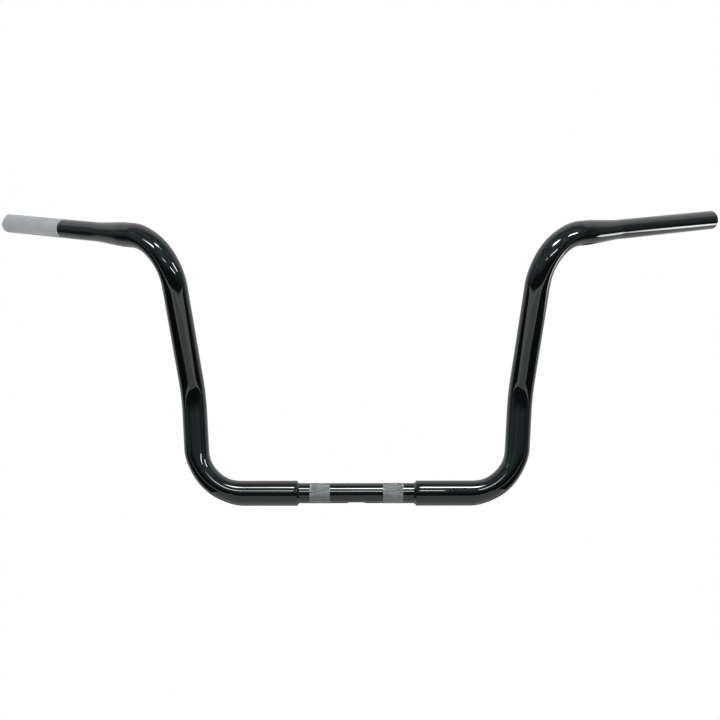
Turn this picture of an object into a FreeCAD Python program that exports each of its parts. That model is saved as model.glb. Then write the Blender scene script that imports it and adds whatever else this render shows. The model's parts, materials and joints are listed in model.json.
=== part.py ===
import FreeCAD, Part
import math
import os

import Sketcher

# A motorcycle handlebar, welded from three steel tubes. A straight clamp tube, which the risers hold at two
# knurled bands, is sleeved and welded into two fatter side tubes. Each side tube is bent three times, and its
# end is swaged down to the size of a grip.
# The origin is the middle of the clamp tube, where +X runs along the tube to the rider's left, +Y points at
# the rider and +Z is up. The throttle side is at -X. Lengths are in millimetres and angles in degrees.

Vector = FreeCAD.Vector

SIZES = {
    # the clamp tube
    "clamp_tube_od": 25.4,
    "clamp_tube_wall": 3.2,
    "band_spacing": 92.5,
    "knurl_width": 25.4,
    "knurl_height": 0.2,
    "knurl_margin": 16,
    "slot_length": 26,
    "slot_width": 12,
    # the sleeve joint at each shoulder, and its weld
    "socket_depth": 40,
    "socket_clearance": 0.127,
    "weld_reach": 2.4,
    "weld_rise": 2.7,
    # the side tubes: wall, straight runs, bend radii and the lean of each leg
    "side_tube_wall": 3.048,
    "base_run": 27.7,
    "lower_run": 43.5,
    "upper_run": 122.4,
    "crown_run": 16.6,
    "lower_bend_radius": 61.5,
    "knee_bend_radius": 100,
    "crown_bend_radius": 65.6,
    "lower_flare_angle": 4,
    "lower_back_angle": 8.2,
    "upper_flare_angle": 7.15,
    "upper_forward_angle": 16.75,
    "grip_sweep_angle": 38.9,
    "grip_climb_angle": 7.35,
    # the swaged grip ends
    "swage_length": 52.5,
    "grip_od": 25.4,
    "grip_wall": 3,
    "grip_length": 200,
    "end_chamfer": 0.7,
    "notch_width": 12.5,
    "notch_depth": 3,
    "notch_lift_angle": 25,
}

# Sizes that follow from the ones above, as expressions for the sheet to work out.
CLAMP_OUTER = "(Sizes.clamp_tube_od / 2)"
CLAMP_BORE = f"({CLAMP_OUTER} - Sizes.clamp_tube_wall)"
KNURL_OUTER = f"({CLAMP_OUTER} + Sizes.knurl_height)"
KNURL_START = "((Sizes.band_spacing - Sizes.knurl_width) / 2)"
KNURL_END = "((Sizes.band_spacing + Sizes.knurl_width) / 2)"
SHOULDER = f"({KNURL_END} + Sizes.knurl_margin)"
CLAMP_END = f"({SHOULDER} + Sizes.socket_depth)"
SIDE_BORE = f"({CLAMP_OUTER} + Sizes.socket_clearance)"
SIDE_OUTER = f"({SIDE_BORE} + Sizes.side_tube_wall)"
GRIP_OUTER = "(Sizes.grip_od / 2)"
GRIP_BORE = f"({GRIP_OUTER} - Sizes.grip_wall)"
SWAGE_START = "(Sizes.grip_length + Sizes.swage_length)"

THROTTLE_SIDE = -1
CLUTCH_SIDE = 1

doc = FreeCAD.newDocument("handlebar")
sheet = doc.addObject("Spreadsheet::Sheet", "Sizes")
for row, (alias, number) in enumerate(SIZES.items(), start=1):
    sheet.set(f"A{row}", alias.replace("_", " "))
    sheet.set(f"B{row}", str(number))
    sheet.setAlias(f"B{row}", alias)
doc.recompute()


def worked_out(expression):
    """The number that an expression of the sheet's sizes comes to."""
    return float(sheet.evalExpression(expression))


def size(alias):
    """One size from the sheet."""
    return worked_out(f"Sizes.{alias}")


# Sketches


def plane_sketch(body, name, role):
    """An empty sketch on one of a body's own origin planes."""
    sketch = body.newObject("Sketcher::SketchObject", name)
    plane = next(feature for feature in body.Origin.OriginFeatures if feature.Role == role)
    sketch.AttachmentSupport = [(plane, "")]
    sketch.MapMode = "FlatFace"
    return sketch


def arc_about(start, end, axis, level):
    """The short arc between two points, about a centre with a given x or y. A half circle bows to the right."""
    middle, chord = (start + end) / 2, end - start
    right = Vector(chord.y, -chord.x, 0).normalize()
    offset = (level - getattr(middle, axis)) / getattr(right, axis)
    centre = middle + right * offset
    radius = centre.distanceToPoint(start)
    crown = centre - right * radius if offset > 1e-6 else centre + right * radius
    return Part.Arc(start, crown, end)


def closed_outline(sketch, corners, arcs=None):
    """Draw a closed outline, with every corner and the centre of every arc tied to the sheet.

    corners are (x, y) expressions. arcs says which edges are round, by the number of the corner where the edge
    starts: it gives the axis, x or y, along which the arc's centre is tied, and the expression for its place.
    """
    arcs = arcs or {}
    points = [Vector(worked_out(x), worked_out(y), 0) for x, y in corners]
    edges = []
    for number, start in enumerate(points):
        end = points[(number + 1) % len(points)]
        if number in arcs:
            axis, level = arcs[number]
            edge = arc_about(start, end, axis, worked_out(level))
        else:
            edge = Part.LineSegment(start, end)
        edges.append(sketch.addGeometry(edge))

    def tie(edge, which, axis, expression):
        place = getattr(sketch.getPoint(edge, which), axis)
        index = sketch.addConstraint(Sketcher.Constraint(f"Distance{axis.upper()}", -1, 1, edge, which, place))
        sketch.setExpression(f"Constraints[{index}]", expression)

    def end_at(edge, point):
        return min((1, 2), key=lambda which: sketch.getPoint(edge, which).distanceToPoint(point))

    for number, (corner, point) in enumerate(zip(corners, points)):
        edge, before = edges[number], edges[number - 1]
        sketch.addConstraint(
            Sketcher.Constraint("Coincident", before, end_at(before, point), edge, end_at(edge, point))
        )
        for axis, expression in zip("xy", corner):
            tie(edge, end_at(edge, point), axis, expression)
    for number, (axis, level) in arcs.items():
        tie(edges[number], 3, axis, level)


def revolved(body, sketch, axis):
    """Turn a sketch once around one of its own axes, H_Axis or V_Axis."""
    turn = body.newObject("PartDesign::Revolution", f"{sketch.Name}_turned")
    turn.Profile = sketch
    turn.ReferenceAxis = (sketch, [axis])
    turn.Angle = 360
    return turn


# Clamp tube


def clamp_tube():
    """The straight middle tube, with its two raised bands and the wiring slot in its underside."""
    body = doc.addObject("PartDesign::Body", "clamp_tube")
    wall = plane_sketch(body, "clamp_tube_wall_section", "XZ_Plane")
    right_side = [
        (KNURL_START, CLAMP_OUTER),
        (KNURL_START, KNURL_OUTER),
        (KNURL_END, KNURL_OUTER),
        (KNURL_END, CLAMP_OUTER),
        (CLAMP_END, CLAMP_OUTER),
        (CLAMP_END, CLAMP_BORE),
    ]
    left_side = [(f"-{x}", y) for x, y in reversed(right_side)]
    closed_outline(wall, right_side + left_side)
    revolved(body, wall, "H_Axis")
    doc.recompute()

    slot = plane_sketch(body, "wiring_slot_outline", "XY_Plane")
    end_centre = "((Sizes.slot_length - Sizes.slot_width) / 2)"
    half_width = "(Sizes.slot_width / 2)"
    closed_outline(
        slot,
        [
            (f"-{end_centre}", f"-{half_width}"),
            (end_centre, f"-{half_width}"),
            (end_centre, half_width),
            (f"-{end_centre}", half_width),
        ],
        arcs={1: ("x", end_centre), 3: ("x", f"-{end_centre}")},
    )
    cut = body.newObject("PartDesign::Pocket", "wiring_slot")
    cut.Profile = slot
    cut.setExpression("Length", "Sizes.clamp_tube_od")
    return body


# Side tubes


def leg_directions(side):
    """The way that each leg of a side tube runs, from the clamp tube to the grip."""

    def upright(flare, lean):
        return Vector(side * math.tan(math.radians(flare)), math.tan(math.radians(lean)), 1).normalize()

    sweep, climb = math.radians(size("grip_sweep_angle")), math.radians(size("grip_climb_angle"))
    return [
        Vector(side, 0, 0),
        upright(size("lower_flare_angle"), size("lower_back_angle")),
        upright(size("upper_flare_angle"), -size("upper_forward_angle")),
        Vector(side * math.cos(sweep) * math.cos(climb), math.sin(sweep) * math.cos(climb), math.sin(climb)),
    ]


def bend_arc(start, way_in, way_out, radius):
    """The tangent arc that turns a tube from one way to another."""
    turn = way_in.getAngle(way_out)
    corner = start + way_in * (radius * math.tan(turn / 2))
    inward = (way_out - way_in).normalize()
    middle = corner + inward * (radius / math.cos(turn / 2) - radius)
    end = corner + way_out * (radius * math.tan(turn / 2))
    return Part.Arc(start, middle, end).toShape(), end


def bend_line(side):
    """The centre line of a side tube, from its shoulder to the start of its swage, and the grip's axis.

    Returns the wire, the point at the tip of the grip and the way that the grip runs.
    """
    directions = leg_directions(side)
    runs = [size("socket_depth") + size("base_run"), size("lower_run"), size("upper_run"), size("crown_run")]
    radii = [size("lower_bend_radius"), size("knee_bend_radius"), size("crown_bend_radius")]
    edges = []
    point = Vector(side * worked_out(SHOULDER), 0, 0)
    for number, (way, run) in enumerate(zip(directions, runs)):
        edges.append(Part.LineSegment(point, point + way * run).toShape())
        point = point + way * run
        if number < len(radii):
            arc, point = bend_arc(point, way, directions[number + 1], radii[number])
            edges.append(arc)
    return Part.Wire(edges), point + directions[-1] * worked_out(SWAGE_START), directions[-1]


def swept_rod(name, side, path, radius):
    """A round rod along a side tube's centre line."""
    ring = doc.addObject("Part::Circle", f"{name}_ring")
    ring.setExpression("Radius", radius)
    along_clamp_tube = FreeCAD.Rotation(Vector(0, 1, 0), Vector(), Vector(side, 0, 0), "ZXY")
    ring.Placement = FreeCAD.Placement(Vector(side * worked_out(SHOULDER), 0, 0), along_clamp_tube)
    rod = doc.addObject("Part::Sweep", name)
    rod.Sections = [ring]
    rod.Spine = (path, [f"Edge{number + 1}" for number in range(len(path.Shape.Edges))])
    rod.Solid = True
    return rod


def bent_tube(name, side, centre_line):
    """The part of a side tube that keeps its full size, from the shoulder to the start of the swage."""
    path = doc.addObject("Part::Feature", f"{name}_centre_line")
    path.Shape = centre_line
    tube = doc.addObject("Part::Cut", f"{name}_bent")
    tube.Base = swept_rod(f"{name}_outside", side, path, SIDE_OUTER)
    tube.Tool = swept_rod(f"{name}_inside", side, path, SIDE_BORE)
    return tube


def grip_end(name, tip, way, notched):
    """The swaged end of a side tube, turned about its own axis, with its tip at the body's origin."""
    body = doc.addObject("PartDesign::Body", f"{name}_grip_end")
    wall = plane_sketch(body, f"{name}_grip_section", "XZ_Plane")
    swage_middle = "-(Sizes.grip_length + Sizes.swage_length / 2)"
    swage_end, swage_start = ("y", "-Sizes.grip_length"), ("y", f"-{SWAGE_START}")
    closed_outline(
        wall,
        [
            (f"({GRIP_OUTER} - Sizes.end_chamfer)", "0"),
            (GRIP_OUTER, "-Sizes.end_chamfer"),
            (GRIP_OUTER, "-Sizes.grip_length"),
            (f"({GRIP_OUTER} + {SIDE_OUTER}) / 2", swage_middle),
            (SIDE_OUTER, f"-{SWAGE_START}"),
            (SIDE_BORE, f"-{SWAGE_START}"),
            (f"({GRIP_BORE} + {SIDE_BORE}) / 2", swage_middle),
            (GRIP_BORE, "-Sizes.grip_length"),
            (GRIP_BORE, "0"),
        ],
        # level with the ends of the swage, the arcs' centres make it run smoothly into the tube and the grip
        arcs={2: swage_end, 3: swage_start, 5: swage_start, 6: swage_end},
    )
    revolved(body, wall, "V_Axis")
    doc.recompute()

    if notched:
        notch = plane_sketch(body, f"{name}_notch_outline", "XZ_Plane")
        half_width = "(Sizes.notch_width / 2)"
        past_tip = "Sizes.notch_depth"
        closed_outline(
            notch,
            [
                (f"-{half_width}", past_tip),
                (f"-{half_width}", "-Sizes.notch_depth"),
                (half_width, "-Sizes.notch_depth"),
                (half_width, past_tip),
            ],
        )
        cut = body.newObject("PartDesign::Pocket", f"{name}_notch")
        cut.Profile = notch
        cut.setExpression("Length", "Sizes.grip_od")

    # the notch faces the front of the bike, lifted a little, so the body's own -Y looks that way
    forward = Vector(0, -1, 0)
    forward = (forward - way * forward.dot(way)).normalize()
    upward = Vector(0, 0, 1)
    upward = (upward - way * upward.dot(way) - forward * upward.dot(forward)).normalize()
    lift = math.radians(size("notch_lift_angle"))
    notch_way = forward * math.cos(lift) + upward * math.sin(lift)
    body.Placement = FreeCAD.Placement(tip, FreeCAD.Rotation(Vector(), notch_way * -1, way, "ZYX"))
    return body


def shoulder_weld(name, side):
    """The fillet weld that runs around the clamp tube, against the end of a side tube."""
    body = doc.addObject("PartDesign::Body", f"{name}_weld")
    bead = plane_sketch(body, f"{name}_weld_section", "XZ_Plane")
    sign = "-" if side < 0 else ""
    closed_outline(
        bead,
        [
            (f"{sign}{SHOULDER}", CLAMP_OUTER),
            (f"{sign}{SHOULDER}", f"({CLAMP_OUTER} + Sizes.weld_rise)"),
            (f"{sign}({SHOULDER} - Sizes.weld_reach)", CLAMP_OUTER),
        ],
    )
    revolved(body, bead, "H_Axis")
    return body


def side_tube(name, side, notched):
    """One whole side tube in one piece: its weld, its bends and its swaged grip end."""
    centre_line, tip, way = bend_line(side)
    tube = doc.addObject("Part::MultiFuse", name)
    tube.Shapes = [
        shoulder_weld(name, side),
        bent_tube(name, side, centre_line),
        grip_end(name, tip, way, notched),
    ]
    tube.Refine = True
    return tube


pieces = [
    clamp_tube(),
    side_tube("throttle_side_tube", THROTTLE_SIDE, notched=True),
    side_tube("clutch_side_tube", CLUTCH_SIDE, notched=False),
]
for piece in pieces:
    piece.Label = piece.Name
doc.recompute()

for thing in doc.Objects:
    if {"Invalid", "Error"} & set(thing.State):
        raise RuntimeError(f"{thing.Name} failed to build: {thing.State}")
for piece in pieces:
    if piece.Shape.isNull() or not piece.Shape.isValid() or len(piece.Shape.Solids) != 1:
        raise RuntimeError(f"{piece.Label} is not one sound solid")

os.makedirs("parts", exist_ok=True)
for piece in pieces:
    piece.Shape.exportStep(os.path.join("parts", f"{piece.Label}.step"))
    box = piece.Shape.BoundBox
    print(
        f"{piece.Label}: {piece.Shape.Volume:.0f} mm3, x {box.XMin:.1f} to {box.XMax:.1f},"
        f" y {box.YMin:.1f} to {box.YMax:.1f}, z {box.ZMin:.1f} to {box.ZMax:.1f}"
    )
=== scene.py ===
"""Tall motorcycle handlebar: a knurled clamp tube and two bent, swaged side tubes in gloss black paint."""

import json
import logging
import math
from dataclasses import dataclass, field
from enum import Enum

import bmesh
import bpy
from mathutils import Matrix, Vector


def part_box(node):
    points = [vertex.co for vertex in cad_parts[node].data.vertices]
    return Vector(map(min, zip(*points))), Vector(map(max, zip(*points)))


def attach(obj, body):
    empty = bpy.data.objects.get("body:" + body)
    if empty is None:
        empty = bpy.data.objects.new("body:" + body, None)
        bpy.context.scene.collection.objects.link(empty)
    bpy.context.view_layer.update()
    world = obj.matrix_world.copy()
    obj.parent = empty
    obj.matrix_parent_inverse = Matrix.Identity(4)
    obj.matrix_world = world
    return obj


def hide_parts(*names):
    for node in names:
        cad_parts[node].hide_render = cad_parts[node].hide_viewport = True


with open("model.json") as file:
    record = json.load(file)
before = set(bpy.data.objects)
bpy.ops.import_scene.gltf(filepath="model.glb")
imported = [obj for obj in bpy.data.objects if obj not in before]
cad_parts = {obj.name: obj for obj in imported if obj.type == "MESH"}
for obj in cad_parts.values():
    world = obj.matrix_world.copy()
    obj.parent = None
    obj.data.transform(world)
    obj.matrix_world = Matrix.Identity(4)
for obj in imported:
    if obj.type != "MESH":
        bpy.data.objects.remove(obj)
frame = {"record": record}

LOG = logging.getLogger("handlebar")
Rgb = tuple[float, float, float]
Span = tuple[float, float]
Place = tuple[float, float, float]
MeshPart = bmesh.types.BMVert | bmesh.types.BMEdge | bmesh.types.BMFace
UP = Vector((0.0, 0.0, 1.0))
MM_PER_M = 1000.0
MERGE_DISTANCE = 1e-6
CRISP_ANGLE = 32.0
CORNER_STEPS = 12
NOISE_SPAN: Span = (0.3, 0.7)


class Side(Enum):
    """A side of the bar, with the sign of its X."""

    THROTTLE = -1
    CLUTCH = 1

    @property
    def word(self) -> str:
        """The side's name in the pieces' names."""
        return self.name.lower()

    @property
    def node(self) -> str:
        """The solid that this side's tube stands for."""
        return f"{self.word}_side_tube"

    @property
    def mount(self) -> str:
        """The record's seat for this side's grip."""
        return f"{self.word}_grip"


class Coat(Enum):
    """The finishes on a tube, in the order of its material slots."""

    PAINT = 0
    BARE = 1
    BORE = 2


def mount(name: str) -> dict:
    """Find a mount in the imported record.

    Args:
        name: The mount's name.

    Returns:
        The mount's entry, with its place, axis and sizes.
    """
    return next(entry for entry in frame["record"]["mounts"] if entry["name"] == name)


def eased(share: float) -> float:
    """Ease a share in and out, from 0 to 1."""
    share = min(1.0, max(0.0, share))
    return share * share * (3.0 - 2.0 * share)


class NodeDesk:
    """Puts together the nodes of a material or a world."""

    def __init__(self, owner: bpy.types.Material | bpy.types.World) -> None:
        """Start on the owner's own node tree."""
        owner.use_nodes = True
        self.tree = owner.node_tree

    def add(self, kind: str, **inputs: object) -> bpy.types.Node:
        """Add a node and feed its inputs.

        Args:
            kind: The node's type name.
            inputs: Values, or output sockets to link, by input name with _ for a space.

        Returns:
            The new node.
        """
        node = self.tree.nodes.new(kind)
        for name, value in inputs.items():
            self.feed(node, name.replace("_", " "), value)
        return node

    def feed(self, node: bpy.types.Node, socket: str | int, value: object) -> None:
        """Give one input a value or a link.

        Args:
            node: The node that is fed.
            socket: The input's name or number.
            value: A plain value, or an output socket to link.
        """
        if isinstance(value, bpy.types.NodeSocket):
            self.tree.links.new(value, node.inputs[socket])
        else:
            node.inputs[socket].default_value = value

    def coordinates(self, kind: str) -> bpy.types.NodeSocket:
        """Give one of the texture coordinates, such as Object."""
        return self.add("ShaderNodeTexCoord").outputs[kind]

    def noise(self, place: bpy.types.NodeSocket, scale: float, detail: float) -> bpy.types.NodeSocket:
        """Add a noise.

        Args:
            place: The coordinates that it reads.
            scale: How many of its waves go to a unit.
            detail: How many finer waves are added.

        Returns:
            The noise, around one half.
        """
        return self.add("ShaderNodeTexNoise", Vector=place, Scale=scale, Detail=detail).outputs["Fac"]

    def spread(self, value: bpy.types.NodeSocket, source: Span, result: Span) -> bpy.types.NodeSocket:
        """Ease a value from one span into another.

        Args:
            value: The value.
            source: The span that it comes in.
            result: The span that it leaves in.

        Returns:
            The eased value.
        """
        node = self.add("ShaderNodeMapRange", Value=value)
        node.interpolation_type = "SMOOTHSTEP"
        for socket, number in zip(("From Min", "From Max", "To Min", "To Max"), source + result):
            self.feed(node, socket, number)
        return node.outputs["Result"]

    def shades(self, value: bpy.types.NodeSocket, stops: dict[float, Rgb]) -> bpy.types.NodeSocket:
        """Colour a value.

        Args:
            value: The value, from 0 to 1.
            stops: The colours, by the values that they stand at.

        Returns:
            The colour.
        """
        ramp = self.add("ShaderNodeValToRGB", Fac=value)
        elements = ramp.color_ramp.elements
        while len(elements) < len(stops):
            elements.new(1.0)
        for element, (position, colour) in zip(elements, sorted(stops.items())):
            element.position = position
            element.color = (*colour, 1.0)
        return ramp.outputs["Color"]

    def sum_up(
        self, operation: str, first: bpy.types.NodeSocket, second: bpy.types.NodeSocket | float
    ) -> bpy.types.NodeSocket:
        """Do a sum with two values.

        Args:
            operation: The sum, such as MULTIPLY.
            first: The first value.
            second: The second value.

        Returns:
            The result.
        """
        node = self.add("ShaderNodeMath")
        node.operation = operation
        self.feed(node, 0, first)
        self.feed(node, 1, second)
        return node.outputs["Value"]

    def shown_rays(self) -> dict[str, bpy.types.NodeSocket]:
        """Tell apart the rays that show the background.

        Returns:
            Whether a ray comes from the camera, and whether it is mirrored or refracted.
        """
        rays = self.add("ShaderNodeLightPath").outputs
        mirrored = self.sum_up("MAXIMUM", rays["Is Glossy Ray"], rays["Is Transmission Ray"])
        return {"camera": rays["Is Camera Ray"], "mirrored": mirrored}

    def mix(
        self, share: bpy.types.NodeSocket, first: bpy.types.NodeSocket, second: bpy.types.NodeSocket
    ) -> bpy.types.NodeSocket:
        """Mix two shaders.

        Args:
            share: The share of the second shader.
            first: The first shader.
            second: The second shader.

        Returns:
            The mixed shader.
        """
        node = self.add("ShaderNodeMixShader", Fac=share)
        self.feed(node, 1, first)
        self.feed(node, 2, second)
        return node.outputs["Shader"]


@dataclass(frozen=True)
class GlossBlackPaint:
    """Gloss black paint over steel, with a faint orange peel and a cool cast in its reflections."""

    dark: Rgb = (0.0012, 0.0016, 0.0016)
    light: Rgb = (0.0022, 0.0030, 0.0028)
    reflection: Rgb = (0.93, 1.0, 0.975)
    ior: float = 1.53
    roughness: Span = (0.012, 0.03)
    cloud_scale: float = 30.0
    cloud_detail: float = 4.0
    peel_scale: float = 190.0
    peel_detail: float = 1.5
    peel_height: float = 0.000003

    def material(self) -> bpy.types.Material:
        """Put the paint together.

        Returns:
            The paint's material.
        """
        paint = bpy.data.materials.new("gloss_black_paint")
        desk = NodeDesk(paint)
        place = desk.coordinates("Object")
        cloud = desk.noise(place, self.cloud_scale, self.cloud_detail)
        dimples = desk.noise(place, self.peel_scale, self.peel_detail)
        peel = desk.add("ShaderNodeBump", Height=dimples, Distance=self.peel_height)
        surface = desk.tree.nodes["Principled BSDF"]
        low, high = NOISE_SPAN
        desk.feed(surface, "Base Color", desk.shades(cloud, {low: self.dark, high: self.light}))
        desk.feed(surface, "Roughness", desk.spread(cloud, NOISE_SPAN, self.roughness))
        desk.feed(surface, "Normal", peel.outputs["Normal"])
        desk.feed(surface, "Specular Tint", (*self.reflection, 1.0))
        desk.feed(surface, "IOR", self.ior)
        return paint


@dataclass(frozen=True)
class BareSteel:
    """Bare steel with fine marks round an axis, under a dull film where its metal is less than 1."""

    name: str
    axis: Vector
    dark: Rgb
    light: Rgb
    roughness: Span
    marks_along: float = 1400.0
    marks_round: float = 60.0
    mark_detail: float = 3.0
    stain_scale: float = 70.0
    stain_detail: float = 5.0
    mark_depth: float = 0.00001
    metal: float = 1.0

    def material(self) -> bpy.types.Material:
        """Put the steel together.

        Returns:
            The steel's material.
        """
        steel = bpy.data.materials.new(self.name)
        desk = NodeDesk(steel)
        upright = self.axis.rotation_difference(UP).to_euler()
        place = desk.coordinates("Object")
        turned = desk.add("ShaderNodeMapping", Vector=place, Rotation=upright).outputs["Vector"]
        drawn_out = (self.marks_round, self.marks_round, self.marks_along)
        drawn = desk.add("ShaderNodeMapping", Vector=turned, Scale=drawn_out).outputs["Vector"]
        marks = desk.noise(drawn, 1.0, self.mark_detail)
        stain = desk.noise(turned, self.stain_scale, self.stain_detail)
        grooves = desk.add("ShaderNodeBump", Height=marks, Distance=self.mark_depth)
        surface = desk.tree.nodes["Principled BSDF"]
        low, high = NOISE_SPAN
        desk.feed(surface, "Base Color", desk.shades(stain, {low: self.dark, high: self.light}))
        desk.feed(surface, "Roughness", desk.spread(marks, NOISE_SPAN, self.roughness))
        desk.feed(surface, "Normal", grooves.outputs["Normal"])
        desk.feed(surface, "Metallic", self.metal)
        return steel


@dataclass
class TubePen:
    """Draws a tube ring by ring along its centre line, in an empty mesh."""

    mesh: bmesh.types.BMesh
    centre: Vector
    way: Vector
    radius: float
    segments: int = 96
    bend_step: float = math.radians(3.0)
    run_step: float = 0.008
    coat: Coat = Coat.PAINT
    edges: list[bmesh.types.BMEdge] = field(init=False)

    def __post_init__(self) -> None:
        """Draw the first ring."""
        square = UP.rotation_difference(self.way).to_matrix().to_4x4()
        bmesh.ops.create_circle(
            self.mesh,
            cap_ends=False,
            segments=self.segments,
            radius=self.radius,
            matrix=Matrix.Translation(self.centre) @ square,
        )
        self.edges = self.mesh.edges[:]

    @property
    def ring(self) -> list[bmesh.types.BMVert]:
        """The corners of the last ring."""
        return list(dict.fromkeys(vert for edge in self.edges for vert in edge.verts))

    def take(self, made: list[MeshPart]) -> None:
        """Go on from a ring that was just made, and give its wall the coat.

        Args:
            made: The geometry that holds the new ring.
        """
        self.edges = [part for part in made if isinstance(part, bmesh.types.BMEdge) and part.is_boundary]
        for edge in self.edges:
            for face in edge.link_faces:
                face.material_index = self.coat.value

    def push(self, length: float, radius: float | None = None) -> None:
        """Extrude the last ring straight ahead.

        Args:
            length: How far ahead the new ring lies.
            radius: The new ring's radius, or None for the same.
        """
        self.take(bmesh.ops.extrude_edge_only(self.mesh, edges=self.edges)["geom"])
        self.centre = self.centre + self.way * length
        bmesh.ops.translate(self.mesh, vec=self.way * length, verts=self.ring)
        if radius is not None:
            grow = radius / self.radius
            here = Matrix.Translation(-self.centre)
            bmesh.ops.scale(self.mesh, vec=(grow, grow, grow), space=here, verts=self.ring)
            self.radius = radius

    def run(self, length: float) -> None:
        """Draw a straight run, with rings close enough to keep its shading even.

        Args:
            length: The length of the run.
        """
        steps = math.ceil(length / self.run_step)
        for _ in range(steps):
            self.push(length / steps)

    def taper(self, length: float, radius: float, steps: int = 16, softness: float = 0.35) -> None:
        """Draw a conical change of size that eases in and out.

        Args:
            length: The length of the change.
            radius: The radius at its end.
            steps: The number of rings.
            softness: How far the cone bows to an S, from 0 to 1.
        """
        start = self.radius
        for step in range(1, steps + 1):
            share = step / steps
            share += (eased(share) - share) * softness
            self.push(length / steps, start + (radius - start) * share)

    def turn_back(self, coat: Coat) -> None:
        """Face back along the tube, to draw its inside."""
        self.way = -self.way
        self.coat = coat

    def bend(
        self, way: Vector, bend_radius: float, flattening: float = 0.0, run_in: float = 0.3
    ) -> None:
        """Spin the last ring round a bend, where the tube goes a little flat.

        Args:
            way: The direction after the bend.
            bend_radius: The bend's radius at the centre line.
            flattening: The share of its depth that the tube loses along the middle of the bend.
            run_in: The share of the bend over which it goes flat, at each end.
        """
        axis = self.way.cross(way).normalized()
        turn = self.way.angle(way)
        hub = self.centre + axis.cross(self.way) * bend_radius
        steps = math.ceil(turn / self.bend_step)
        depth = 1.0
        for step in range(1, steps + 1):
            made = bmesh.ops.spin(
                self.mesh,
                geom=self.ring + self.edges,
                cent=hub,
                axis=axis,
                dvec=(0.0, 0.0, 0.0),
                angle=turn / steps,
                steps=1,
                use_merge=False,
                use_duplicate=False,
            )
            self.take(made["geom_last"])
            self.centre = hub + Matrix.Rotation(turn / steps, 3, axis) @ (self.centre - hub)
            flat = eased(min(step, steps - step) / (steps * run_in))
            self.flatten(hub, axis, (1.0 - flattening * flat) / depth)
            depth = 1.0 - flattening * flat
        self.way = way.copy()

    def flatten(self, hub: Vector, axis: Vector, depth: float) -> None:
        """Press the last ring towards the hub of its bend.

        Args:
            hub: The hub.
            axis: The bend's axis.
            depth: The ring's new depth, as a share of its old one.
        """
        out = (self.centre - hub).normalized()
        lie = Matrix((out, axis, out.cross(axis))).transposed().to_4x4()
        space = (Matrix.Translation(self.centre) @ lie).inverted()
        bmesh.ops.scale(self.mesh, vec=(depth, 1.0, 1.0), space=space, verts=self.ring)


def finished(mesh: bmesh.types.BMesh, name: str, crisp: float = CRISP_ANGLE) -> bpy.types.Object:
    """Close a bmesh's seams and make it an object.

    Args:
        mesh: The mesh, which is freed.
        name: The object's name.
        crisp: The angle in degrees from which an edge stays sharp.

    Returns:
        The object, linked to the scene.
    """
    bmesh.ops.remove_doubles(mesh, verts=mesh.verts, dist=MERGE_DISTANCE)
    bmesh.ops.recalc_face_normals(mesh, faces=mesh.faces)
    data = bpy.data.meshes.new(name)
    mesh.to_mesh(data)
    mesh.free()
    data.set_sharp_from_angle(angle=math.radians(crisp))
    made = bpy.data.objects.new(name, data)
    bpy.context.scene.collection.objects.link(made)
    return made


def cut_away(piece: bpy.types.Object, cutter: bpy.types.Object, crisp: float = CRISP_ANGLE) -> None:
    """Cut one object's shape out of a piece and drop the cutter.

    Args:
        piece: The piece that loses the shape.
        cutter: The shape that is cut out.
        crisp: The angle in degrees from which an edge stays sharp.
    """
    cut = piece.modifiers.new("cut", "BOOLEAN")
    cut.operation = "DIFFERENCE"
    cut.solver = "EXACT"
    cut.object = cutter
    whole = piece.data
    data = bpy.data.meshes.new_from_object(piece.evaluated_get(bpy.context.evaluated_depsgraph_get()))
    piece.modifiers.clear()
    data.name = piece.name
    piece.data = data
    data.set_sharp_from_angle(angle=math.radians(crisp))
    bpy.data.meshes.remove(whole)
    bpy.data.meshes.remove(cutter.data)


def round_corners(mesh: bmesh.types.BMesh, edges: list[bmesh.types.BMEdge], radius: float) -> None:
    """Round some edges of a cutter.

    Args:
        mesh: The cutter's mesh.
        edges: The edges.
        radius: The radius of the rounding.
    """
    bmesh.ops.bevel(
        mesh, geom=edges, offset=radius, affect="EDGES", segments=CORNER_STEPS, profile=0.5, material=-1
    )


def upright_edges(mesh: bmesh.types.BMesh) -> list[bmesh.types.BMEdge]:
    """Pick the edges of a block that run along Z."""
    spans = ((edge, edge.verts[0].co - edge.verts[1].co) for edge in mesh.edges)
    return [edge for edge, span in spans if span.xy.length < MERGE_DISTANCE]


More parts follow.
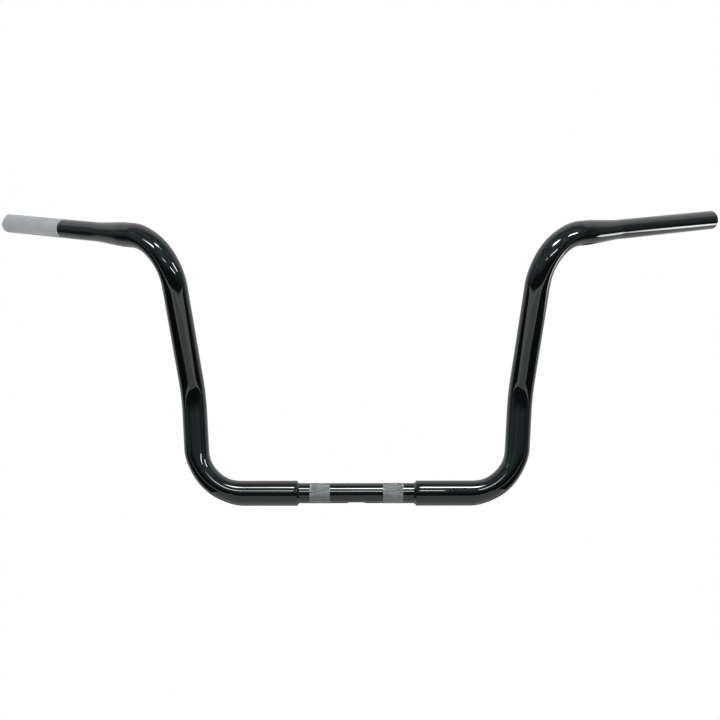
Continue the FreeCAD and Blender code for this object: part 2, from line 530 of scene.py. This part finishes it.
@dataclass
class ClampTube:
    """The straight one-inch tube, with its two knurled bands, bore and wiring slot."""

    wall: float = 0.0032
    band_width: float = 0.0254
    band_proud: float = 0.0002
    knurl_depth: float = 0.0002
    knurl_count: int = 64
    knurl_rows: int = 40
    slot_length: float = 0.026
    slot_width: float = 0.012
    slot_margin: float = 0.004
    slot_end_round: float = 0.49
    piece: bpy.types.Object | None = None
    reach: float = field(init=False)
    band_radius: float = field(init=False)
    band_end: float = field(init=False)
    band_start: float = field(init=False)
    radius: float = field(init=False)

    def __post_init__(self) -> None:
        """Take the tube's reach and the place of its bands from the frame."""
        clamp = mount("riser_clamp")["dims"]
        self.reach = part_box("clamp_tube")[1].x
        self.band_radius = clamp["r_mm"] / MM_PER_M
        self.band_end = clamp["length_mm"] / MM_PER_M / 2.0
        self.band_start = self.band_end - self.band_width
        self.radius = self.band_radius - self.band_proud

    def build(self) -> None:
        """Draw the tube, knurl its bands and cut the slot."""
        mesh = bmesh.new()
        bore = self.radius - self.wall
        end, way = Vector((-self.reach, 0.0, 0.0)), Vector((1.0, 0.0, 0.0))
        pen = TubePen(mesh, end, way, bore, self.knurl_count * 2)
        pen.push(0.0, self.radius)
        pen.run(self.reach - self.band_end)
        self.knurl(pen)
        beside_slot = self.slot_length / 2.0 + self.slot_margin
        pen.run(self.band_start - beside_slot)
        pen.push(beside_slot * 2.0)
        pen.run(self.band_start - beside_slot)
        self.knurl(pen)
        pen.run(self.reach - self.band_end)
        pen.push(0.0, bore)
        pen.turn_back(Coat.BORE)
        pen.push(self.reach - beside_slot)
        pen.push(beside_slot * 2.0)
        pen.push(self.reach - beside_slot)
        self.piece = finished(mesh, "knurled_clamp_tube")
        cut_away(self.piece, self.slot_shape())

    def knurl(self, pen: TubePen) -> None:
        """Draw a knurled band: rows of quads whose every other corner stands up as a diamond's point.

        Args:
            pen: The pen at the band's start.
        """
        pen.coat = Coat.BARE
        rows = []
        for _ in range(self.knurl_rows):
            pen.push(self.band_width / self.knurl_rows)
            rows.append(pen.ring)
        pen.coat = Coat.PAINT
        half_step = math.pi / self.knurl_count
        points, pits = [], []
        for number, row in enumerate(rows[:-1]):
            for vert in row:
                place = round(math.atan2(vert.co.z, vert.co.y) / half_step)
                (points if (place + number) % 2 else pits).append(vert)
        bmesh.ops.connect_verts(pen.mesh, verts=pits)
        stand = self.band_radius / self.radius
        sink = (self.band_radius - self.knurl_depth) / self.radius
        bmesh.ops.scale(pen.mesh, vec=(1.0, stand, stand), verts=points)
        bmesh.ops.scale(pen.mesh, vec=(1.0, sink, sink), verts=pits)

    def slot_shape(self) -> bpy.types.Object:
        """Make the wiring slot's shape: a block with round ends.

        Returns:
            The cutter.
        """
        mesh = bmesh.new()
        size = Matrix.Diagonal((self.slot_length, self.slot_width, self.radius, 1.0))
        bmesh.ops.create_cube(mesh, size=1.0, matrix=Matrix.Translation((0.0, 0.0, -self.radius)) @ size)
        round_corners(mesh, upright_edges(mesh), self.slot_width * self.slot_end_round)
        return finished(mesh, "slot_shape")

    def dress(self, finishes: list[bpy.types.Material]) -> None:
        """Give the tube its finishes, with flat facets on the knurl.

        Args:
            finishes: The materials, in the order of the coats.
        """
        for material in finishes:
            self.piece.data.materials.append(material)
        for face in self.piece.data.polygons:
            face.use_smooth = face.material_index != Coat.BARE.value
        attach(self.piece, "root")
        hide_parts("clamp_tube")


@dataclass
class SideTube:
    """One bent side tube, from its shoulder to the tip of its swaged grip end."""

    side: Side
    weld_reach: float = 0.0024
    wall: float = 0.003048
    grip_wall: float = 0.003
    base_run: float = 0.0677
    lower_run: float = 0.0435
    upper_run: float = 0.1224
    crown_run: float = 0.0166
    lower_bend_radius: float = 0.0615
    knee_bend_radius: float = 0.1
    crown_bend_radius: float = 0.0656
    lower_flattening: float = 0.09
    crown_flattening: float = 0.08
    lower_flare: float = 4.0
    lower_back: float = 8.2
    upper_flare: float = 7.15
    upper_forward: float = 16.75
    swage_length: float = 0.0525
    grip_length: float = 0.2
    tip_chamfer: float = 0.00085
    shoulder_round: float = 0.0006
    shoulder_steps: Span = (0.3, 0.7)
    bare_length: float = 0.127
    paint_thickness: float = 0.00008
    notch_width: float = 0.0125
    notch_depth: float = 0.003
    notch_corner: float = 0.001
    notch_lift: float = 25.0
    notch_block_height: float = 1.2
    notch_block_stand: float = 1.05
    piece: bpy.types.Object | None = None
    radius: float = field(init=False)
    grip_radius: float = field(init=False)
    grip_way: Vector = field(init=False)
    shoulder: Vector = field(init=False)
    tip: Vector = field(init=False)

    def __post_init__(self) -> None:
        """Take the tube's sizes, shoulder and grip from the frame."""
        low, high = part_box(self.side.node)
        seat = mount(self.side.mount)
        inner_end = low.x if self.side is Side.CLUTCH else -high.x
        self.radius = -low.z
        self.grip_radius = seat["dims"]["r_mm"] / MM_PER_M
        self.grip_way = Vector(seat["axis"]).normalized()
        self.shoulder = Vector((self.side.value * (inner_end + self.weld_reach), 0.0, 0.0))
        self.tip = Vector(seat["pos_m"]) + self.grip_way * self.grip_length / 2.0

    @property
    def ways(self) -> list[Vector]:
        """The directions of the straight runs, from the shoulder to the grip."""
        sign = self.side.value
        leans = (self.lower_flare, self.lower_back, self.upper_flare, self.upper_forward)
        flare, back, out, forward = (math.tan(math.radians(lean)) for lean in leans)
        return [
            Vector((sign, 0.0, 0.0)),
            Vector((sign * flare, back, 1.0)).normalized(),
            Vector((sign * out, -forward, 1.0)).normalized(),
            self.grip_way,
        ]

    @property
    def bare(self) -> bool:
        """Only the throttle end is left bare, so that its sleeve turns freely."""
        return self.side is Side.THROTTLE

    @property
    def notch_room(self) -> float:
        """How far the rings beside the notch lie from the tip."""
        return self.notch_depth * 2.0

    def build(self) -> None:
        """Draw the tube outside and in, and cut the notch where the end has one."""
        mesh = bmesh.new()
        pen = TubePen(mesh, self.shoulder, self.ways[0], self.radius - self.wall)
        pen.push(0.0, self.radius - self.shoulder_round)
        first, second = (self.shoulder_round * share for share in self.shoulder_steps)
        pen.push(first, self.radius - first)
        pen.push(second, self.radius)
        self.outside(pen)
        missed = (pen.centre - self.tip).length * MM_PER_M
        LOG.info("%s: tip is %.3f mm from the packed grip's end", self.side.node, missed)
        self.inside(pen)
        self.piece = finished(mesh, f"{self.side.word}_bent_tube")
        if self.bare:
            cut_away(self.piece, self.notch_shape())

    def outside(self, pen: TubePen) -> None:
        """Draw the outer wall from the shoulder to the tip.

        Args:
            pen: The pen just past the shoulder's edge.
        """
        ways = self.ways
        pen.run(self.base_run - self.shoulder_round)
        pen.bend(ways[1], self.lower_bend_radius, self.lower_flattening)
        pen.run(self.lower_run)
        pen.bend(ways[2], self.knee_bend_radius)
        pen.run(self.upper_run)
        pen.bend(ways[3], self.crown_bend_radius, self.crown_flattening)
        pen.run(self.crown_run)
        pen.taper(self.swage_length, self.grip_radius)
        end = self.grip_length
        if self.bare:
            pen.run(self.grip_length - self.bare_length)
            pen.coat = Coat.BARE
            pen.push(self.paint_thickness, self.grip_radius - self.paint_thickness)
            end = self.bare_length - self.paint_thickness
        pen.run(end - self.notch_room)
        pen.push(self.notch_room - self.tip_chamfer)
        pen.push(self.tip_chamfer, self.grip_radius - self.tip_chamfer)
        pen.push(0.0, self.grip_radius - self.grip_wall)

    def inside(self, pen: TubePen) -> None:
        """Draw the bore from the tip back to the shoulder.

        Args:
            pen: The pen at the tip.
        """
        ways = self.ways
        pen.turn_back(Coat.BORE)
        pen.push(self.notch_room)
        pen.run(self.grip_length - self.notch_room)
        pen.taper(self.swage_length, self.radius - self.wall)
        pen.run(self.crown_run)
        pen.bend(-ways[2], self.crown_bend_radius, self.crown_flattening)
        pen.run(self.upper_run)
        pen.bend(-ways[1], self.knee_bend_radius)
        pen.run(self.lower_run)
        pen.bend(-ways[0], self.lower_bend_radius, self.lower_flattening)
        pen.run(self.base_run)

    def notch_shape(self) -> bpy.types.Object:
        """Make the end notch's shape: a block with round inner corners, on the tube's front upper side.

        Returns:
            The cutter.
        """
        front = Vector((0.0, -1.0, 0.0))
        front = (front - self.grip_way * front.dot(self.grip_way)).normalized()
        lift = Matrix.Rotation(math.radians(self.notch_lift) * -self.side.value, 3, self.grip_way)
        out = lift @ front
        lie = Matrix((self.grip_way, self.grip_way.cross(out), out)).transposed().to_4x4()
        height = self.grip_radius * self.notch_block_height
        size = Matrix.Diagonal((self.notch_depth * 2.0, self.notch_width, height, 1.0))
        mesh = bmesh.new()
        bmesh.ops.create_cube(mesh, size=1.0, matrix=size)
        inner = [edge for edge in upright_edges(mesh) if edge.verts[0].co.x < 0.0]
        round_corners(mesh, inner, self.notch_corner)
        for face in mesh.faces:
            face.material_index = Coat.BARE.value
        place = Matrix.Translation(self.tip + out * self.grip_radius * self.notch_block_stand)
        bmesh.ops.transform(mesh, matrix=place @ lie, verts=mesh.verts)
        return finished(mesh, "notch_shape")

    def dress(self, finishes: list[bpy.types.Material]) -> None:
        """Give the tube its finishes.

        Args:
            finishes: The materials, in the order of the coats.
        """
        for material in finishes:
            self.piece.data.materials.append(material)
        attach(self.piece, "root")
        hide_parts(self.side.node)


@dataclass
class ShoulderWeld:
    """The fillet weld that closes a side tube's shoulder on the clamp tube."""

    tube: SideTube
    rise: float = 0.0027
    hollow: float = 0.00025
    ripple: float = 0.00006
    steps: int = 6
    crisp_angle: float = 50.0
    piece: bpy.types.Object | None = None

    def build(self) -> None:
        """Draw the bead's hollow face and its two flat legs, and ripple the face."""
        mesh = bmesh.new()
        seat = self.tube.grip_radius
        way = self.tube.ways[0]
        pen = TubePen(mesh, self.tube.shoulder - way * self.tube.weld_reach, way, seat)
        troughs = []
        for step in range(1, self.steps + 1):
            share = step / self.steps
            sag = self.hollow * math.sin(math.pi * share)
            pen.push(self.tube.weld_reach / self.steps, seat + self.rise * share - sag)
            if step < self.steps:
                troughs += self.every_other(pen)
        pen.push(0.0, seat)
        sink = 1.0 - self.ripple / seat
        bmesh.ops.scale(mesh, vec=(1.0, sink, sink), verts=troughs)
        pen.turn_back(Coat.PAINT)
        pen.push(self.tube.weld_reach)
        self.piece = finished(mesh, f"{self.tube.side.word}_shoulder_weld", self.crisp_angle)

    def every_other(self, pen: TubePen) -> list[bmesh.types.BMVert]:
        """Pick every other corner of the last ring.

        Args:
            pen: The pen on the ring.

        Returns:
            The corners.
        """
        step = math.tau / pen.segments
        return [vert for vert in pen.ring if round(math.atan2(vert.co.z, vert.co.y) / step) % 2]

    def dress(self, paint: bpy.types.Material) -> None:
        """Paint the weld.

        Args:
            paint: The paint.
        """
        self.piece.data.materials.append(paint)
        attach(self.piece, "root")


@dataclass(frozen=True)
class PanelLamp:
    """A soft flat lamp that faces a place on the bar, with a grid where its light is kept narrow."""

    name: str
    spot: Place
    target: Place
    length: float
    width: float
    level: float
    fan: float = 180.0

    @property
    def beam(self) -> float:
        """The solid angle of the lamp's fan, weighed as its light fades to the rim."""
        half = math.radians(self.fan) / 2.0
        faded = (half / 2.0 - math.sin(half * 2.0) / 4.0) / math.tan(half)
        return math.tau * (math.sin(half) ** 2 / 2.0 - faded)

    def hang(self) -> None:
        """Hang the lamp, with its length level."""
        lamp = bpy.data.lights.new(self.name, "AREA")
        lamp.shape = "RECTANGLE"
        lamp.size = self.length
        lamp.size_y = self.width
        lamp.spread = math.radians(self.fan)
        lamp.energy = self.level * self.beam * self.length * self.width
        held = bpy.data.objects.new(self.name, lamp)
        held.location = self.spot
        facing = Vector(self.target) - Vector(self.spot)
        held.rotation_euler = facing.to_track_quat("-Z", "Y").to_euler()
        held.visible_camera = False
        bpy.context.scene.collection.objects.link(held)


def strip_lamp(
    name: str,
    ends: Span,
    elevation: float,
    distance: float,
    width: float,
    level: float,
    fan: float = 180.0,
) -> PanelLamp:
    """Make a lamp that hangs parallel to the clamp tube, in front of it.

    Args:
        name: The lamp's name.
        ends: The X of its two ends.
        elevation: Its angle over the clamp tube in degrees.
        distance: Its distance from the clamp tube's axis.
        width: Its width.
        level: How bright it is.
        fan: The angle that its light fans out over, in degrees.

    Returns:
        The lamp.
    """
    angle = math.radians(elevation)
    middle = sum(ends) / 2.0
    spot = (middle, -distance * math.cos(angle), distance * math.sin(angle))
    return PanelLamp(name, spot, (middle, 0.0, 0.0), ends[1] - ends[0], width, level, fan)


@dataclass
class Studio:
    """White paper under the bar, a white backdrop, a dim room in front, lamps and the camera."""

    paper_sides: Span = (-0.55, 0.6)
    paper_ends: Span = (-1.3, 0.4)
    paper_height: float = -0.45
    paper_colour: Rgb = (0.9, 0.9, 0.9)
    paper_veil: float = 0.88
    room_tint: Rgb = (0.78, 0.94, 1.0)
    room_heights: tuple[Span, ...] = (
        (-0.6, 0.041),
        (-0.2, 0.048),
        (-0.02, 0.069),
        (0.1, 0.219),
        (0.26, 0.438),
        (0.55, 0.575),
        (0.85, 0.493),
        (1.0, 0.466),
    )
    wall_heights: tuple[Span, ...] = (
        (-0.35, 0.037),
        (-0.12, 0.062),
        (0.02, 0.25),
        (0.3, 0.375),
        (0.6, 0.562),
        (1.0, 0.5),
    )
    wall_edge: Span = (0.6, 0.75)
    room_unevenness: Span = (0.5, 1.4)
    streak_scale: Place = (5.0, 5.0, 1.2)
    streak_detail: float = 2.0
    far_floor_near: Span = (-36.5, -34.5)
    far_floor_far: Span = (-28.0, -25.0)
    far_floor_colour: Rgb = (1.0, 0.97, 0.97)
    far_floor_level: float = 1.5
    backdrop_edge: Span = (0.15, 0.4)
    backdrop_foot: Span = (-0.16, -0.04)
    backdrop_foot_drop: float = 2.0
    backdrop_share: float = 0.74
    backdrop_top: Span = (0.3, 0.6)
    backdrop_top_edge: Span = (0.08, 0.16)
    backdrop_top_share: float = 0.95
    camera_distance: float = 1.59996
    camera_right: float = 0.00428
    camera_up: float = 0.16846
    camera_yaw: float = 1.0
    camera_roll: float = -0.16
    lens: float = 63.2
    sensor_width: float = 36.0
    lamps: tuple[PanelLamp, ...] = (
        strip_lamp(
            "high_strip",
            ends=(-0.36, 0.42),
            elevation=59.0,
            distance=1.55,
            width=0.2,
            level=49.0,
            fan=22.0,
        ),
        strip_lamp(
            "high_strip_right",
            ends=(1.2, 2.2),
            elevation=59.0,
            distance=1.55,
            width=0.12,
            level=41.0,
        ),
        PanelLamp(
            "right_crown_strip",
            spot=(0.32, -0.8, 1.33),
            target=(0.29, -0.03, 0.36),
            length=0.6,
            width=0.17,
            level=46.0,
            fan=26.0,
        ),
        strip_lamp(
            "low_strip",
            ends=(-0.75, 0.2),
            elevation=27.5,
            distance=1.8,
            width=0.1,
            level=33.0,
            fan=26.0,
        ),
        strip_lamp(
            "low_strip_right",
            ends=(0.5, 1.35),
            elevation=27.5,
            distance=1.8,
            width=0.1,
            level=22.0,
        ),
        PanelLamp(
            "left_end_strip",
            spot=(-0.69, -0.48, 0.69),
            target=(-0.42, 0.11, 0.36),
            length=0.4,
            width=0.08,
            level=38.0,
            fan=60.0,
        ),
        PanelLamp(
            "left_end_fill",
            spot=(-0.557, 0.07, -0.078),
            target=(-0.441, 0.126, 0.354),
            length=0.25,
            width=0.1,
            level=25.0,
            fan=34.0,
        ),
        PanelLamp(
            "low_lamp",
            spot=(1.07, 0.3, 0.058),
            target=(0.41, 0.1, 0.35),
            length=0.32,
            width=0.13,
            level=12.0,
            fan=28.0,
        ),
    )

    def build(self) -> None:
        """Set up the paper, the world, the lamps and the camera."""
        self.lay_paper()
        self.light_world()
        for lamp in self.lamps:
            lamp.hang()
        self.set_camera()
        bpy.context.scene.view_settings.view_transform = "Standard"

    def lay_paper(self) -> None:
        """Lay the pale floor, all but white to the camera apart from the bar's shadow."""
        mesh = bmesh.new()
        (left, right), (front, back) = self.paper_sides, self.paper_ends
        middle = Vector(((left + right) / 2.0, (front + back) / 2.0, self.paper_height))
        size = Matrix.Diagonal((right - left, back - front, 1.0, 1.0))
        place = Matrix.Translation(middle) @ size
        bmesh.ops.create_grid(mesh, x_segments=1, y_segments=1, size=0.5, matrix=place)
        paper = finished(mesh, "floor_paper")
        white_paper = bpy.data.materials.new("white_paper")
        desk = NodeDesk(white_paper)
        surface, output = desk.tree.nodes["Principled BSDF"], desk.tree.nodes["Material Output"]
        desk.feed(surface, "Base Color", (*self.paper_colour, 1.0))
        desk.feed(surface, "Roughness", 1.0)
        desk.feed(surface, "Specular IOR Level", 0.0)
        rays = desk.shown_rays()
        shown = desk.sum_up("MAXIMUM", rays["camera"], rays["mirrored"])
        veil = desk.sum_up("MULTIPLY", shown, self.paper_veil)
        white = desk.add("ShaderNodeEmission", Color=(1.0, 1.0, 1.0, 1.0), Strength=1.0)
        mixed = desk.mix(veil, surface.outputs["BSDF"], white.outputs["Emission"])
        desk.feed(output, "Surface", mixed)
        paper.data.materials.append(white_paper)

    def light_world(self) -> None:
        """Make the surround: white to the camera, a pale backdrop to reflections, and else a dim room."""
        world = bpy.data.worlds.new("studio")
        bpy.context.scene.world = world
        desk = NodeDesk(world)
        room, output = desk.tree.nodes["Background"], desk.tree.nodes["World Output"]
        heading = desk.add("ShaderNodeSeparateXYZ", Vector=desk.coordinates("Generated")).outputs
        desk.feed(room, "Color", (*self.room_tint, 1.0))
        desk.feed(room, "Strength", self.room_level(desk, heading))
        floor_colour = (*self.far_floor_colour, 1.0)
        floor = desk.add("ShaderNodeBackground", Color=floor_colour, Strength=self.far_floor_level)
        white = desk.add("ShaderNodeBackground", Color=(1.0, 1.0, 1.0, 1.0), Strength=1.0)
        rays = desk.shown_rays()
        behind = desk.sum_up("MULTIPLY", rays["mirrored"], self.backdrop_shown(desk, heading))
        shown = desk.sum_up("MAXIMUM", rays["camera"], behind)
        surround = desk.mix(self.far_floor_shown(desk, heading), room.outputs[0], floor.outputs[0])
        desk.feed(output, "Surface", desk.mix(shown, surround, white.outputs[0]))

    def room_level(self, desk: NodeDesk, heading: bpy.types.NodeOutputs) -> bpy.types.NodeSocket:
        """Light the room by height, with walls of their own at the sides and some unevenness.

        Args:
            desk: The world's nodes.
            heading: The direction's X, Y and Z.

        Returns:
            How bright the room is.
        """
        height = desk.add("ShaderNodeMapRange", Value=heading["Z"], From_Min=-1.0).outputs["Result"]
        front, walls = (
            desk.shades(height, {(rise + 1.0) / 2.0: (level, level, level) for rise, level in heights})
            for heights in (self.room_heights, self.wall_heights)
        )
        aside = desk.sum_up("MULTIPLY", heading["X"], heading["X"])
        share = desk.spread(aside, self.wall_edge, (0.0, 1.0))
        level = desk.add("ShaderNodeMix", Factor=share, A=front, B=walls).outputs["Result"]
        sky = desk.coordinates("Generated")
        streaks = desk.add("ShaderNodeMapping", Vector=sky, Scale=self.streak_scale)
        uneven = desk.noise(streaks.outputs["Vector"], 1.0, self.streak_detail)
        return desk.sum_up("MULTIPLY", level, desk.spread(uneven, NOISE_SPAN, self.room_unevenness))

    def far_floor_shown(self, desk: NodeDesk, heading: bpy.types.NodeOutputs) -> bpy.types.NodeSocket:
        """Mark the far floor in front of the paper, between two angles below the horizon.

        Args:
            desk: The world's nodes.
            heading: The direction's X, Y and Z.

        Returns:
            How much of the floor shows.
        """
        ahead = desk.sum_up("MULTIPLY", heading["Y"], -1.0)
        tilt = desk.sum_up("ARCTAN2", heading["Z"], ahead)
        edges = (self.far_floor_near, self.far_floor_far)
        near, far = (tuple(map(math.radians, span)) for span in edges)
        past_near = desk.spread(tilt, near, (0.0, 1.0))
        before_far = desk.spread(tilt, far, (1.0, 0.0))
        return desk.sum_up("MULTIPLY", past_near, before_far)

    def backdrop_shown(self, desk: NodeDesk, heading: bpy.types.NodeOutputs) -> bpy.types.NodeSocket:
        """Mark the backdrop behind the bar, brighter at its top, whose foot drops away to the sides.

        Args:
            desk: The world's nodes.
            heading: The direction's X, Y and Z.

        Returns:
            How much of the backdrop shows.
        """
        behind = desk.spread(heading["Y"], self.backdrop_edge, (0.0, self.backdrop_share))
        aside = desk.sum_up("MULTIPLY", heading["X"], heading["X"])
        dropped = desk.sum_up("MULTIPLY", aside, self.backdrop_foot_drop)
        raised = desk.sum_up("ADD", heading["Z"], dropped)
        lower = desk.sum_up("MULTIPLY", behind, desk.spread(raised, self.backdrop_foot, (0.0, 1.0)))
        overhead = desk.spread(heading["Y"], self.backdrop_top_edge, (0.0, self.backdrop_top_share))
        high_up = desk.spread(heading["Z"], self.backdrop_top, (0.0, 1.0))
        upper = desk.sum_up("MULTIPLY", overhead, high_up)
        return desk.sum_up("MAXIMUM", lower, upper)

    def set_camera(self) -> None:
        """Put the camera at the photograph's place, straight ahead of the bar."""
        yaw = Matrix.Rotation(math.radians(self.camera_yaw), 3, "Z")
        ahead = yaw @ Vector((0.0, 1.0, 0.0))
        roll = Matrix.Rotation(math.radians(-self.camera_roll), 3, ahead)
        right = roll @ yaw @ Vector((1.0, 0.0, 0.0))
        up = right.cross(ahead)
        data = bpy.data.cameras.new("camera")
        data.sensor_width = self.sensor_width
        data.lens = self.lens
        camera = bpy.data.objects.new("camera", data)
        turn = Matrix((right, up, -ahead)).transposed().to_4x4()
        spot = right * self.camera_right + up * self.camera_up - ahead * self.camera_distance
        camera.matrix_world = Matrix.Translation(spot) @ turn
        bpy.context.scene.collection.objects.link(camera)
        bpy.context.scene.camera = camera


def report(piece: bpy.types.Object) -> None:
    """Log a finished piece's name, reach and triangles.

    Args:
        piece: The piece.
    """
    piece.data.calc_loop_triangles()
    spots = [vert.co for vert in piece.data.vertices]
    low, high = (
        [round(end(spot[axis] for spot in spots) * MM_PER_M, 2) for axis in range(3)] for end in (min, max)
    )
    LOG.info("%s: %s to %s mm, %d triangles", piece.name, low, high, len(piece.data.loop_triangles))


def main() -> None:
    """Build and dress the bar and its studio."""
    logging.basicConfig(level=logging.INFO, format="%(name)s: %(message)s")
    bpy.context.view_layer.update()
    along = Vector((1.0, 0.0, 0.0))
    paint = GlossBlackPaint().material()
    knurl = BareSteel(
        name="knurled_steel",
        axis=along,
        dark=(0.2, 0.205, 0.205),
        light=(0.285, 0.289, 0.285),
        roughness=(0.54, 0.64),
        metal=0.6,
    ).material()
    raw = BareSteel(
        name="raw_bore_steel",
        axis=along,
        dark=(0.1, 0.1, 0.1),
        light=(0.2, 0.19, 0.18),
        roughness=(0.45, 0.65),
    ).material()
    clamp_tube = ClampTube()
    clamp_tube.build()
    clamp_tube.dress([paint, knurl, raw])
    report(clamp_tube.piece)
    for side in Side:
        tube = SideTube(side)
        end_steel = BareSteel(
            name=f"{side.word}_end_steel",
            axis=tube.grip_way,
            dark=(0.45, 0.453, 0.46),
            light=(0.52, 0.523, 0.53),
            roughness=(0.58, 0.7),
            mark_depth=0.000004,
            metal=0.5,
        ).material()
        tube.build()
        tube.dress([paint, end_steel, raw])
        report(tube.piece)
        weld = ShoulderWeld(tube)
        weld.build()
        weld.dress(paint)
        report(weld.piece)
    Studio().build()


if __name__ == "__main__":
    main()
